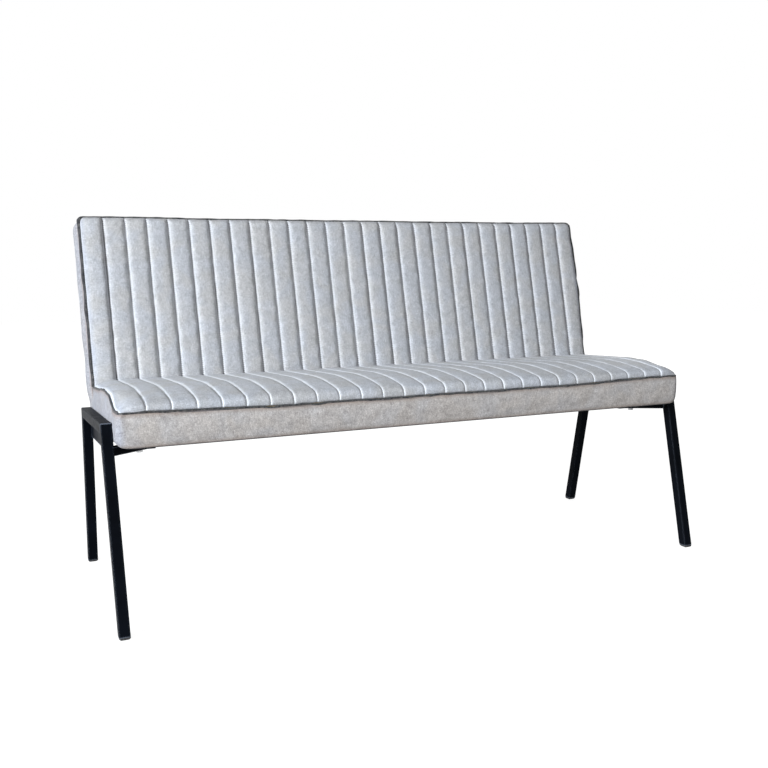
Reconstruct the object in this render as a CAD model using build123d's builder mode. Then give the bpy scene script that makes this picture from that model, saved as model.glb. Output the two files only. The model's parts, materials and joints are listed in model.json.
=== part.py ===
"""Upholstered dining bench with a channelled seat and back on a black steel frame.

Millimetres. X runs along the bench, Y from the front to the back, Z up from the floor.
The origin is on the floor under the middle of the bench's length and depth.
Left and right are as seen from the front.
"""

from build123d import *
from math import cos, radians, sin, tan
import os

os.makedirs("parts", exist_ok=True)

# Angles of the bench
seat_slope = radians(3.6)  # the seat and its side rails fall towards the back
front_lean = radians(14.93)  # front legs, from upright, feet forwards
rear_lean = radians(9.94)  # rear legs, from upright, feet backwards
recline = radians(15.3)  # back, from upright
arm_turn = radians(38.1)  # under-seat arms, in plan, from the bench's length

# Side frames, of square tube
bench_length = 1600.0
panel_inset = 35.0  # quilted panels' ends, inwards from the bench's ends
tube = 25.0
tube_wall = 2.0
tube_corner = 2.5
rail_setback = 57.7  # top front corner of a side frame, behind the seat's front
rail_overhang = 16.7  # top rear corner of a side frame, behind the seat's rear seams
rail_rise = 54.5  # top of the rail above the seat's underside
seat_base_height = 410.0  # seat's underside above the floor, at the seat's front

# Plastic caps in the feet
cap_height = 6.0
cap_corner = 3.0
cap_edge = 3.0  # bevel round the sole
cap_plug_length = 22.0
cap_gap = 0.25

# Carrier under each end of the seat
web_thickness = 5.0
arm_tube = 20.0
arm_wall = 1.5
arm_setback = 75.0  # middle of the front arm at the web, behind the seat's front
cross_bar_inset = 85.0  # outer face of the cross bar, inwards from the web
cloth_thickness = 1.0  # black cloth below the seat

# Bolts through the arms into the seat frame
bolt_radius = 4.0
bolt_inset = 67.0  # from the web, inwards
bolt_head_across = 13.0
bolt_head_height = 5.3
bolt_hole_gap = 0.3
tee_barrel_radius = 5.0
tee_barrel_length = 11.0
tee_flange_radius = 11.0
tee_flange_thickness = 1.5
thread_gap = 0.1

# Quilting, the same on the seat and the back
channel_count = 27
channel_bulge = 5.0
wadding = 10.0  # quilted panel, from its seams to its lining
piping_radius = 2.5
piping_sides = 8
gap = 0.3  # between soft pieces and what they lie against

# Seat, seen from the side
seat_depth = 428.0  # front seams to the back's seams, at the crown
crown_height = 122.0  # seams above the seat's underside, behind the front roll
piping_height = 74.0
front_roll_radius = 24.0
front_roll_turn = radians(76.0)
piping_corner = 12.0
side_level = 61.5  # low run of the side piping, behind the front corner
side_climb = 36.0  # height and length of the side piping's climb
side_bend = 45.0
side_bulge = 9.5  # bands beyond the quilted panel's ends
front_bulge = 4.0
band_hem = 6.0  # rounding of the front band's lower edge
band_corner = 11.0  # rounding of the front band's ends, in plan
lower_corner = 28.0  # rounding of the seat's lower corners, seen from the front
band_swell_share = 0.3  # outward swell of the side bands above their fullest line
end_section_shares = ((0.0, 0.02), (0.55, 0.33), (1.0, 1.0))  # place and drop of end sections
in_line_share = 1e-6
cover_lift = 2.0  # the cover's ends above the side piping

# Seat frame, of wood, and what lies on it
seat_timber_height = 45.0
rail_timber = 22.0
end_timber = 60.0
post_timber = 40.0
timber_edge = 1.5
end_padding = 20.0  # from the frame's ends to the quilted panel's ends
strap_count = 13
strap_width = 50.0
strap_thickness = 2.0

# Back
back_rise = 434.0  # top of the piping above the seat's crown
back_thickness = 94.0
back_foam_thickness = 38.0
board_thickness = 3.7
back_timber = 28.0
back_top_timber = 45.0
back_top_drop = 20.0
lower_rail_height = 40.0
shoulder = 35.0  # rounding of the top rear edge
back_band = 8.0
back_corner = 16.0  # piping's turn at the top corners
back_side_corner = 10.0  # rounding of the side bands' rear edges
piping_drop = 8.0  # back piping's lower ends, below the seat's crown

# Screws through the back's posts into the seat's rear rail
screw_radius = 3.5
screw_length = 45.0
screw_gap = 0.1
screw_head_across = 11.0
screw_head_height = 4.0

# Places worked out from the sizes
overrun = 2 * bench_length
upright = radians(90)
rail_length = seat_depth + rail_overhang - rail_setback
panel_length = bench_length - 2 * panel_inset
half_panel = panel_length / 2
web_x = bench_length / 2 - tube
tube_x = (bench_length - tube) / 2
frame_x = half_panel - end_padding
channel_pitch = panel_length / channel_count
inner_panel = half_panel - channel_pitch
arm_top = -cloth_thickness
arm_bottom = arm_top - arm_tube
arm_middle = (arm_top + arm_bottom) / 2


def depth_of(back, up):
    """Distance behind the seat's front of a point given along and off the sloping seat."""
    return back * cos(seat_slope) + up * sin(seat_slope)


def height_of(back, up):
    """Height above the floor of the same point."""
    return seat_base_height - back * sin(seat_slope) + up * cos(seat_slope)


toe = depth_of(rail_setback, rail_rise) - height_of(rail_setback, rail_rise) * tan(front_lean)
heel = (depth_of(seat_depth, crown_height) + (back_rise - shoulder) * sin(recline)
        + (back_thickness - shoulder) * cos(recline) + shoulder)

# Base planes: X along the bench, Y backwards, Z off the seat or up along the back
seat_base = Plane(origin=(0, -(toe + heel) / 2, seat_base_height), x_dir=(1, 0, 0),
                  z_dir=(0, sin(seat_slope), cos(seat_slope)))
back_base = Plane(origin=seat_base.from_local_coords((0, seat_depth, crown_height)),
                  x_dir=(1, 0, 0), z_dir=(0, sin(recline), cos(recline)))


def side_plane(base, x=0.0):
    """Plane across the bench at x, with backwards and up as its axes."""
    return Plane(origin=base.from_local_coords((x, 0, 0)), x_dir=base.y_dir, z_dir=base.x_dir)


def face_plane(base, back=0.0):
    """Plane seen from the front, this far back, with right and up as its axes."""
    return Plane(origin=base.from_local_coords((0, back, 0)), x_dir=base.x_dir, z_dir=-base.y_dir)


def save(piece, name):
    """Label a finished piece and write it."""
    piece.part.label = name
    export_step(piece.part, f"parts/{name}.step")


# Side frames: corners, and planes across the tubes
front_corner = seat_base.from_local_coords((0, rail_setback, rail_rise))
rear_corner = seat_base.from_local_coords((0, rail_setback + rail_length, rail_rise))
leg_bases = {
    "front": Plane(origin=front_corner, x_dir=(1, 0, 0),
                   z_dir=(0, sin(front_lean), cos(front_lean))),
    "rear": Plane(origin=rear_corner, x_dir=(1, 0, 0),
                  z_dir=(0, -sin(rear_lean), cos(rear_lean))),
}
leg_inward = {"front": 1, "rear": -1}
rail_base = Plane(origin=front_corner, x_dir=(1, 0, 0), z_dir=seat_base.y_dir)
mitres = {
    "front": Plane(origin=front_corner, z_dir=-leg_bases["front"].z_dir - seat_base.y_dir),
    "rear": Plane(origin=rear_corner, z_dir=-leg_bases["rear"].z_dir + seat_base.y_dir),
}
cap_top = Plane.XY.offset(cap_height)


def frame_tube():
    """Section of the side frames' tube, rounded outside."""
    RectangleRounded(tube, tube, tube_corner)
    Rectangle(tube - 2 * tube_wall, tube - 2 * tube_wall, mode=Mode.SUBTRACT)


def small_tube():
    """Section of the arms' tube."""
    Rectangle(arm_tube, arm_tube)
    Rectangle(arm_tube - 2 * arm_wall, arm_tube - 2 * arm_wall, mode=Mode.SUBTRACT)


def leg(side, sign, end):
    """Hollow leg, mitred to the rail and cut level above its cap."""
    with BuildPart() as piece:
        with BuildSketch(leg_bases[end]):
            with Locations((sign * tube_x, leg_inward[end] * tube / 2)):
                frame_tube()
        extrude(amount=overrun, both=True)
        split(bisect_by=mitres[end], keep=Keep.TOP)
        split(bisect_by=cap_top, keep=Keep.TOP)
    save(piece, f"{side}_{end}_leg")


def foot_cap(side, sign, end):
    """Plastic cap with a level, bevelled sole, and a plug up the tube."""
    base = leg_bases[end]
    centre = (sign * tube_x, leg_inward[end] * tube / 2)
    plug = tube - 2 * (tube_wall + cap_gap)
    top = base.from_local_coords((*centre, 0))
    foot = top - base.z_dir * ((top.Z - cap_height / 2) / base.z_dir.Z)
    with BuildPart() as piece:
        with BuildSketch(base) as section:
            with Locations(centre):
                Rectangle(tube, tube)
            chamfer(section.vertices(), length=cap_corner)
        extrude(amount=overrun, both=True)
        split(bisect_by=cap_top, keep=Keep.BOTTOM)
        split(bisect_by=Plane.XY, keep=Keep.TOP)
        chamfer(piece.faces().sort_by(Axis.Z)[0].edges(), length=cap_edge)
        with BuildSketch(Plane.XY.offset(cap_height / 2)):
            with Locations((foot.X, foot.Y)):
                Rectangle(plug, plug / base.z_dir.Z)
        extrude(amount=cap_plug_length, dir=base.z_dir)
    save(piece, f"{side}_{end}_foot_cap")


def top_rail(side, sign):
    """Hollow rail beside the seat, mitred to both legs."""
    with BuildPart() as piece:
        with BuildSketch(rail_base):
            with Locations((sign * tube_x, tube / 2)):
                frame_tube()
        extrude(amount=overrun, both=True)
        for mitre in mitres.values():
            split(bisect_by=mitre, keep=Keep.BOTTOM)
    save(piece, f"{side}_top_rail")


def side_web(side, sign):
    """Plate below the rail, between the legs, flush with their inner faces."""
    inner_faces = [Plane(origin=base.from_local_coords((0, leg_inward[end] * tube, 0)),
                         z_dir=leg_inward[end] * base.y_dir)
                   for end, base in leg_bases.items()]
    with BuildPart() as piece:
        with BuildSketch(side_plane(seat_base, sign * web_x)):
            with Locations((rail_setback, arm_bottom)):
                Rectangle(2 * rail_length, rail_rise - tube - arm_bottom,
                          align=(Align.CENTER, Align.MIN))
        extrude(amount=sign * web_thickness)
        for face in inner_faces:
            split(bisect_by=face, keep=Keep.TOP)
    save(piece, f"{side}_side_web")


# Under-seat arms and their bolts, alike in front and behind the middle of the rail
arm_starts = {"front": arm_setback, "rear": 2 * rail_setback + rail_length - arm_setback}


def arm_back(end, inset):
    """How far back the middle of an arm lies, this far inwards from the web."""
    return arm_starts[end] + leg_inward[end] * inset * tan(arm_turn)


bolt_spots = [(sign * (web_x - bolt_inset), arm_back(end, bolt_inset))
              for sign in (-1, 1) for end in leg_inward]


def arm(side, sign, end):
    """Hollow arm, slanting inwards under the seat, with a bolt hole."""
    start = seat_base.from_local_coords((sign * web_x, arm_starts[end], arm_middle))
    along = (seat_base.x_dir * (-sign * cos(arm_turn))
             + seat_base.y_dir * (leg_inward[end] * sin(arm_turn)))
    web_face = Plane(origin=(sign * web_x, 0, 0), z_dir=(-sign, 0, 0))
    bar_face = Plane(origin=(sign * (web_x - cross_bar_inset), 0, 0), z_dir=(sign, 0, 0))
    with BuildPart() as piece:
        with BuildSketch(Plane(origin=start, x_dir=seat_base.z_dir, z_dir=along)):
            small_tube()
        extrude(amount=overrun, both=True)
        split(bisect_by=web_face, keep=Keep.TOP)
        split(bisect_by=bar_face, keep=Keep.TOP)
        with BuildSketch(seat_base.offset(arm_top)):
            with Locations(bolt_spots):
                Circle(bolt_radius + bolt_hole_gap)
        extrude(amount=-arm_tube, mode=Mode.SUBTRACT)
    save(piece, f"{side}_{end}_arm")


def cross_bar(side, sign):
    """Hollow bar joining the inner ends of two arms."""
    half_end = arm_tube / 2 / cos(arm_turn)
    start = arm_back("front", cross_bar_inset) - half_end
    finish = arm_back("rear", cross_bar_inset) + half_end
    with BuildPart() as piece:
        with BuildSketch(face_plane(seat_base, start)):
            with Locations((sign * (web_x - cross_bar_inset - arm_tube / 2), arm_middle)):
                small_tube()
        extrude(amount=start - finish)
    save(piece, f"{side}_cross_bar")


def carrier_bolts():
    """Hexagon bolts, up through the arms and the seat frame."""
    head_top = seat_base.offset(arm_bottom)
    with BuildPart() as piece:
        with BuildSketch(head_top):
            with Locations(bolt_spots):
                RegularPolygon(bolt_head_across / 2, 6, major_radius=False)
        extrude(amount=-bolt_head_height)
        with BuildSketch(head_top):
            with Locations(bolt_spots):
                Circle(bolt_radius)
        extrude(amount=seat_timber_height - arm_bottom)
    save(piece, "carrier_bolts")


def tee_nuts():
    """Flanged nuts let into the top of the seat frame."""
    timber_top = seat_base.offset(seat_timber_height)
    with BuildPart() as piece:
        with BuildSketch(timber_top):
            with Locations(bolt_spots):
                RegularPolygon(tee_flange_radius, 6)
        extrude(amount=tee_flange_thickness)
        with BuildSketch(timber_top):
            with Locations(bolt_spots):
                Circle(tee_barrel_radius)
        extrude(amount=-tee_barrel_length)
        with BuildSketch(timber_top.offset(tee_flange_thickness)):
            with Locations(bolt_spots):
                Circle(bolt_radius + thread_gap)
        extrude(amount=-tee_flange_thickness - tee_barrel_length, mode=Mode.SUBTRACT)
    save(piece, "tee_nuts")


# Layers of the back behind its seams, and planes parallel to its front
back_tilt = recline - seat_slope
back_clear = channel_bulge + 2 * gap
foam_back = wadding + gap + back_foam_thickness
post_front = foam_back + gap + board_thickness
post_rear = post_front + back_timber
back_foam_drop = ((crown_height - seat_timber_height - strap_thickness
                   - post_front * sin(back_tilt)) / cos(back_tilt) - gap)
seat_end = Plane(origin=back_base.from_local_coords((0, -back_clear, 0)), z_dir=back_base.y_dir)
band_end = Plane(origin=back_base.from_local_coords((0, wadding, 0)), z_dir=back_base.y_dir)
post_face = Plane(origin=back_base.from_local_coords((0, post_front, 0)), z_dir=back_base.y_dir)

# Wooden seat frame: rails along the front and rear, and rails between them
rail_front = wadding + gap
rear_rail_back = seat_depth - crown_height * tan(back_tilt) + post_front / cos(back_tilt)
rear_rail_front = rear_rail_back - rail_timber
end_rail_x = frame_x - end_timber
post_spots = {"left": -end_rail_x - post_timber / 2, "centre": 0,
              "right": end_rail_x + post_timber / 2}
screw_middle = ((seat_timber_height / 2 - crown_height + post_front * sin(back_tilt))
                / cos(back_tilt))
screw_spots = [(x, screw_middle) for x in post_spots.values()]


def seat_front_rail():
    """Rail along the front, on edge."""
    with BuildPart() as piece:
        with BuildSketch(face_plane(seat_base, rail_front)):
            Rectangle(2 * frame_x, seat_timber_height, align=(Align.CENTER, Align.MIN))
        extrude(amount=-rail_timber)
        chamfer(piece.edges().filter_by(Axis.X), length=timber_edge)
    save(piece, "seat_front_rail")


def seat_rear_rail():
    """Rail along the rear, bevelled behind to the lean of the back's posts, with screw holes."""
    with BuildPart() as piece:
        with BuildSketch(face_plane(seat_base, rear_rail_front)):
            Rectangle(2 * frame_x, seat_timber_height, align=(Align.CENTER, Align.MIN))
        extrude(amount=-2 * rail_timber)
        split(bisect_by=post_face, keep=Keep.BOTTOM)
        with BuildSketch(face_plane(back_base, post_front)):
            with Locations(screw_spots):
                Circle(screw_radius + screw_gap)
        extrude(amount=screw_length - back_timber, mode=Mode.SUBTRACT)
    save(piece, "seat_rear_rail")


def seat_cross_rail(side, left, right):
    """Rail from front to rear, with the holes of its bolts and nuts."""
    start = rail_front + rail_timber
    timber_top = seat_base.offset(seat_timber_height)
    with BuildPart() as piece:
        with BuildSketch(face_plane(seat_base, start)):
            with Locations((left, 0)):
                Rectangle(right - left, seat_timber_height, align=(Align.MIN, Align.MIN))
        extrude(amount=start - rear_rail_front)
        with BuildSketch(timber_top):
            with Locations(bolt_spots):
                Circle(bolt_radius + bolt_hole_gap)
        extrude(amount=-seat_timber_height, mode=Mode.SUBTRACT)
        with BuildSketch(timber_top):
            with Locations(bolt_spots):
                Circle(tee_barrel_radius + thread_gap)
        extrude(amount=-tee_barrel_length, mode=Mode.SUBTRACT)
    save(piece, f"seat_{side}_rail")


def seat_webbing():
    """Elastic straps from the front rail to the rear rail."""
    length = rear_rail_back - rail_front
    strap_pitch = 2 * frame_x / (strap_count + 2)
    with BuildPart() as piece:
        with BuildSketch(seat_base.offset(seat_timber_height)):
            with Locations((0, rail_front + length / 2)):
                with GridLocations(strap_pitch, length, strap_count, 1):
                    Rectangle(strap_width, length)
        extrude(amount=strap_thickness)
    save(piece, "seat_webbing")


def dust_cover():
    """Black cloth across the underside of the seat and the back, cut open round the bolts."""
    cut = 2 * (bolt_radius + bolt_hole_gap)
    rear_edge = seat_base.to_local_coords(
        back_base.from_local_coords((0, post_rear, -crown_height / cos(back_tilt))))
    length = rear_edge.Y - rail_front
    with BuildPart() as piece:
        with BuildSketch(seat_base):
            with Locations((0, rail_front + length / 2)):
                Rectangle(2 * frame_x, length)
            with Locations(bolt_spots):
                Rectangle(cut, cut, mode=Mode.SUBTRACT)
        extrude(amount=-cloth_thickness)
    save(piece, "dust_cover")


# Seat profile: the seams rise at the front edge, roll over and climb gently to the crown
roll_start = piping_height + piping_radius + gap
roll_centre = (front_roll_radius, roll_start)
crown_radius = ((crown_height - roll_start - front_roll_radius * sin(front_roll_turn))
                / (1 - sin(front_roll_turn)))
crown_centre = (roll_centre[0] + (crown_radius - front_roll_radius) * cos(front_roll_turn),
                crown_height - crown_radius)
foam_bottom = seat_timber_height + strap_thickness + gap


def roll_point(angle, inset=0.0):
    """Point of the front roll, this far under the seams."""
    radius = front_roll_radius - inset
    return (roll_centre[0] - radius * cos(angle), roll_centre[1] + radius * sin(angle))


def crown_point(angle, inset=0.0):
    """Point of the climb to the crown, this far under the seams."""
    radius = crown_radius - inset
    return (crown_centre[0] - radius * cos(angle), crown_centre[1] + radius * sin(angle))


def seam_curve(inset, finish):
    """Front roll, climb and level run, in the seat's side plane."""
    ThreePointArc(roll_point(0, inset), roll_point(front_roll_turn / 2, inset),
                  roll_point(front_roll_turn, inset))
    ThreePointArc(crown_point(front_roll_turn, inset),
                  crown_point((front_roll_turn + upright) / 2, inset),
                  crown_point(upright, inset))
    Line(crown_point(upright, inset), (finish, crown_height - inset))


def quilted_section(half_length, count):
    """Outline across a quilted panel: an arc for each channel over a flat lining."""
    for k in range(count):
        left = -half_length + k * channel_pitch
        ThreePointArc((left, 0), (left + channel_pitch / 2, -channel_bulge),
                      (left + channel_pitch, 0))
    Polyline((half_length, 0), (half_length, wadding), (-half_length, wadding),
             (-half_length, 0))


def seat_foam():
    """Foam block under the quilted panel, with the same front roll."""
    inset = wadding + gap
    with BuildPart() as piece:
        with BuildSketch(side_plane(seat_base, -inner_panel + gap)):
            with BuildLine():
                seam_curve(inset, seat_depth)
                Polyline((seat_depth, crown_height - inset), (seat_depth, foam_bottom),
                         (rail_front, foam_bottom), roll_point(0, inset))
            make_face()
        extrude(amount=2 * (inner_panel - gap))
        split(bisect_by=seat_end, keep=Keep.BOTTOM)
    save(piece, "seat_foam")


# Side piping: a low run, a climb and a high run, with rounded bends
side_start = piping_corner + piping_radius
climb_start = side_start + side_level
high_piping = piping_height + side_climb
piping_reach = piping_radius + gap
side_x = half_panel + piping_reach
full_x = half_panel + side_bulge


def side_run(raised):
    """Side piping's line, raised by this much, from behind its front corner."""
    return [(side_start, piping_height + raised), (climb_start, piping_height + raised),
            (climb_start + side_climb, high_piping + raised), (seat_depth, high_piping + raised)]


end_run = FilletPolyline(*side_run(piping_reach + cover_lift), radius=side_bend).edges()


def end_stops(drop):
    """Ends and middles of an end channel's outline, from the seams (0) to the piping (1)."""
    climb_turn = upright - front_roll_turn
    seams = [roll_point(front_roll_turn * k / 4) for k in range(5)]
    seams += [crown_point(front_roll_turn + climb_turn * k / 4) for k in range(1, 5)]
    seams += [(seat_depth, crown_height)]
    piping = [end_run[0] @ 0]
    for edge in end_run[:4]:
        piping += [edge @ 0.5, edge @ 1]
    piping += [end_run[4] @ 1]
    return [((1 - drop) * seam[0] + drop * pipe.X, (1 - drop) * seam[1] + drop * pipe.Y)
            for seam, pipe in zip(seams, piping)]


def in_line(start, middle, finish):
    """Whether three points lie in line."""
    turn = ((middle[0] - start[0]) * (finish[1] - start[1])
            - (middle[1] - start[1]) * (finish[0] - start[0]))
    return abs(turn) < in_line_share * (finish[0] - start[0]) ** 2


def end_outline(drop):
    """Outline of an end channel where it has fallen by this share."""
    stops = end_stops(drop)
    for k in range(0, len(stops) - 2, 2):
        if in_line(*stops[k:k + 3]):
            Line(stops[k], stops[k + 2])
        else:
            ThreePointArc(*stops[k:k + 3])
    front = rail_front + drop * wadding
    Polyline(stops[-2], stops[-1], (seat_depth, foam_bottom), (front, foam_bottom),
             (front, roll_start), stops[0])


def seat_top_cover():
    """Quilted panel: swept middle channels, and end channels lofted down to the side piping."""
    with BuildPart() as piece:
        with BuildLine(side_plane(seat_base)) as path:
            seam_curve(0, seat_depth)
        with BuildSketch(Plane(origin=path.line @ 0, x_dir=(1, 0, 0), z_dir=path.line % 0)):
            with BuildLine():
                quilted_section(inner_panel, channel_count - 2)
            make_face()
        sweep(path=path.line)
        for sign in (-1, 1):
            for place, drop in end_section_shares:
                x = sign * (half_panel - (1 - place) * (channel_pitch - gap))
                with BuildSketch(side_plane(seat_base, x)):
                    with BuildLine():
                        end_outline(drop)
                    make_face()
            loft()
        split(bisect_by=seat_end, keep=Keep.BOTTOM)
    save(piece, "seat_top_cover")


def band_curve(sign):
    """Outer line of the seat's bands seen from the front: rounded below, drawn in above."""
    low = (sign * full_x, lower_corner)
    high = (sign * (half_panel + piping_radius), high_piping)
    centre = (sign * (full_x - lower_corner), lower_corner)
    ThreePointArc((centre[0], 0),
                  (centre[0] + sign * lower_corner * sin(upright / 2),
                   centre[1] - lower_corner * cos(upright / 2)), low)
    ThreePointArc(low, ((low[0] + high[0]) / 2 + sign * side_bulge * band_swell_share,
                        (low[1] + high[1]) / 2), high)


def seat_front_band():
    """Front band, full at its middle, with a rounded hem, ends and lower corners."""
    top = piping_height - piping_reach
    with BuildPart() as piece:
        with BuildSketch(side_plane(seat_base, -full_x)):
            with BuildLine():
                ThreePointArc((0, top), (-front_bulge, top / 2), (0, band_hem))
                ThreePointArc((0, band_hem), (band_hem - band_hem * cos(upright / 2),
                                              band_hem - band_hem * sin(upright / 2)),
                              (band_hem, 0))
                Polyline((band_hem, 0), (wadding, 0), (wadding, top), (0, top))
            make_face()
        extrude(amount=2 * full_x)
        with BuildSketch(face_plane(seat_base, -channel_bulge)):
            with BuildLine():
                band_curve(1)
                Line((half_panel + piping_radius, high_piping),
                     (-half_panel - piping_radius, high_piping))
                band_curve(-1)
                Line((lower_corner - full_x, 0), (full_x - lower_corner, 0))
            make_face()
        extrude(amount=-2 * wadding, mode=Mode.INTERSECT)
        with BuildSketch(seat_base):
            with Locations((0, -front_bulge)):
                RectangleRounded(2 * full_x, seat_depth, band_corner,
                                 align=(Align.CENTER, Align.MIN))
        extrude(amount=crown_height, mode=Mode.INTERSECT)
    save(piece, "seat_front_band")


def seat_side_band(side, sign):
    """Side band, thick beside the frame, under the climbing side piping."""
    ledge = foam_bottom - gap
    inner = sign * (frame_x + gap)
    outer = sign * (half_panel + gap)
    with BuildPart() as piece:
        with BuildSketch(face_plane(seat_base, rail_front)):
            with BuildLine():
                band_curve(sign)
                Polyline((sign * (half_panel + piping_radius), high_piping),
                         (outer, high_piping), (outer, ledge), (inner, ledge), (inner, 0),
                         (sign * (full_x - lower_corner), 0))
            make_face()
        extrude(amount=-2 * seat_depth)
        split(bisect_by=band_end, keep=Keep.BOTTOM)
        with BuildSketch(side_plane(seat_base)):
            with BuildLine():
                run = side_run(-piping_reach / cos(upright / 2))
                run[0] = (0, run[0][1])
                run[3] = (2 * seat_depth, run[3][1])
                FilletPolyline(*run, radius=side_bend)
                Polyline(run[3], (2 * seat_depth, 0), (0, 0), run[0])
            make_face()
        extrude(amount=sign * bench_length, mode=Mode.INTERSECT)
    save(piece, f"seat_{side}_band")


def seat_piping():
    """Cord along the front edge, round the corners and up both sides."""
    run = side_run(0)
    points = [(-side_x, back, up) for back, up in reversed(run[1:])]
    points += [(-side_x, piping_radius, piping_height), (side_x, piping_radius, piping_height)]
    points += [(side_x, back, up) for back, up in run[1:]]
    turns = [side_bend, side_bend, piping_corner, piping_corner, side_bend, side_bend]
    with BuildPart() as piece:
        with BuildLine(seat_base) as path:
            FilletPolyline(*points, radius=turns)
        with BuildSketch(Plane(origin=path.line @ 0, z_dir=path.line % 0)):
            RegularPolygon(piping_radius, piping_sides)
        sweep(path=path.line)
        split(bisect_by=seat_end, keep=Keep.BOTTOM)
    save(piece, "seat_piping")


# Heights along the back
panel_top = back_rise - piping_radius - piping_reach
band_top = back_rise - piping_radius
back_foam_top = band_top - back_band - gap
timber_top = back_rise - back_top_drop


def back_front_cover():
    """Quilted front of the back, with rounded top corners."""
    with BuildPart() as piece:
        with BuildSketch(back_base.offset(-back_foam_drop)):
            with BuildLine():
                quilted_section(half_panel, channel_count)
            make_face()
        extrude(amount=back_foam_drop + panel_top)
        with BuildSketch(face_plane(back_base, -channel_bulge)) as outline:
            with Locations((0, panel_top)):
                Rectangle(panel_length, 2 * back_rise, align=(Align.CENTER, Align.MAX))
            fillet(outline.vertices().group_by(Axis.Y)[-1], radius=back_corner - piping_reach)
        extrude(amount=-back_thickness, mode=Mode.INTERSECT)
    save(piece, "back_front_cover")


def back_piping():
    """Cord up both sides and across the top of the back's quilted front."""
    points = [(x, wadding - piping_radius, up) for x, up in (
        (-side_x, -piping_drop), (-side_x, band_top), (side_x, band_top),
        (side_x, -piping_drop))]
    with BuildPart() as piece:
        with BuildLine(back_base) as path:
            FilletPolyline(*points, radius=back_corner)
        with BuildSketch(Plane(origin=path.line @ 0, z_dir=path.line % 0)):
            RegularPolygon(piping_radius, piping_sides)
        sweep(path=path.line)
    save(piece, "back_piping")


def back_foam():
    """Foam block behind the quilted front."""
    with BuildPart() as piece:
        with BuildSketch(face_plane(back_base, wadding + gap)):
            with Locations((0, -back_foam_drop)):
                Rectangle(2 * frame_x, back_foam_drop + back_foam_top,
                          align=(Align.CENTER, Align.MIN))
        extrude(amount=-back_foam_thickness)
    save(piece, "back_foam")


def back_board():
    """Thin board on the back's frame, behind the foam."""
    with BuildPart() as piece:
        with BuildSketch(face_plane(back_base, foam_back + gap)):
            with Locations((0, -back_foam_drop)):
                Rectangle(2 * frame_x, back_foam_drop + timber_top,
                          align=(Align.CENTER, Align.MIN))
        extrude(amount=-board_thickness)
    save(piece, "back_board")


def back_top_rail():
    """Top rail of the back's frame, over the posts."""
    with BuildPart() as piece:
        with BuildSketch(face_plane(back_base, post_front)):
            with Locations((0, timber_top)):
                Rectangle(2 * frame_x, back_top_timber, align=(Align.CENTER, Align.MAX))
        extrude(amount=-back_timber)
        chamfer(piece.edges().filter_by(Axis.X), length=timber_edge)
    save(piece, "back_top_rail")


def back_lower_rail(side, sign):
    """Rail between the centre post and an end post, level with the seat."""
    with BuildPart() as piece:
        with BuildSketch(face_plane(back_base, post_front)):
            with Locations((sign * (end_rail_x + post_timber / 2) / 2, 0)):
                Rectangle(end_rail_x - post_timber / 2, lower_rail_height,
                          align=(Align.CENTER, Align.MIN))
        extrude(amount=-back_timber)
    save(piece, f"back_{side}_lower_rail")


def back_post(side):
    """Upright from the seat's underside to the top rail, screwed to the seat's rear rail."""
    with BuildPart() as piece:
        with BuildSketch(face_plane(back_base, post_front)):
            with Locations((post_spots[side], timber_top - back_top_timber)):
                Rectangle(post_timber, 2 * back_rise, align=(Align.CENTER, Align.MAX))
        extrude(amount=-back_timber)
        split(bisect_by=seat_base, keep=Keep.TOP)
        with BuildSketch(face_plane(back_base, post_front)):
            with Locations(screw_spots):
                Circle(screw_radius + screw_gap)
        extrude(amount=-back_timber, mode=Mode.SUBTRACT)
    save(piece, f"back_{side}_post")


def post_screws():
    """Hexagon screws from behind, through the posts into the seat's rear rail."""
    with BuildPart() as piece:
        with BuildSketch(face_plane(back_base, post_rear)):
            with Locations(screw_spots):
                RegularPolygon(screw_head_across / 2, 6, major_radius=False)
        extrude(amount=-screw_head_height)
        with BuildSketch(face_plane(back_base, post_rear)):
            with Locations(screw_spots):
                Circle(screw_radius)
        extrude(amount=screw_length)
    save(piece, "post_screws")


def back_top_band():
    """Band over the top of the back, turning down over its rear edge."""
    turn = (back_thickness - shoulder, band_top - shoulder)

    def shoulder_arc(radius):
        """Quarter turn over the top rear edge."""
        ThreePointArc((turn[0], turn[1] + radius),
                      (turn[0] + radius * sin(upright / 2), turn[1] + radius * cos(upright / 2)),
                      (turn[0] + radius, turn[1]))

    inner = shoulder - back_band
    with BuildPart() as piece:
        with BuildSketch(side_plane(back_base, -frame_x)):
            with BuildLine():
                shoulder_arc(shoulder)
                shoulder_arc(inner)
                Line((turn[0] + inner, turn[1]), (back_thickness, turn[1]))
                Polyline((turn[0], band_top), (wadding + gap, band_top),
                         (wadding + gap, band_top - back_band), (turn[0], turn[1] + inner))
            make_face()
        extrude(amount=2 * frame_x)
    save(piece, "back_top_band")


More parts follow.
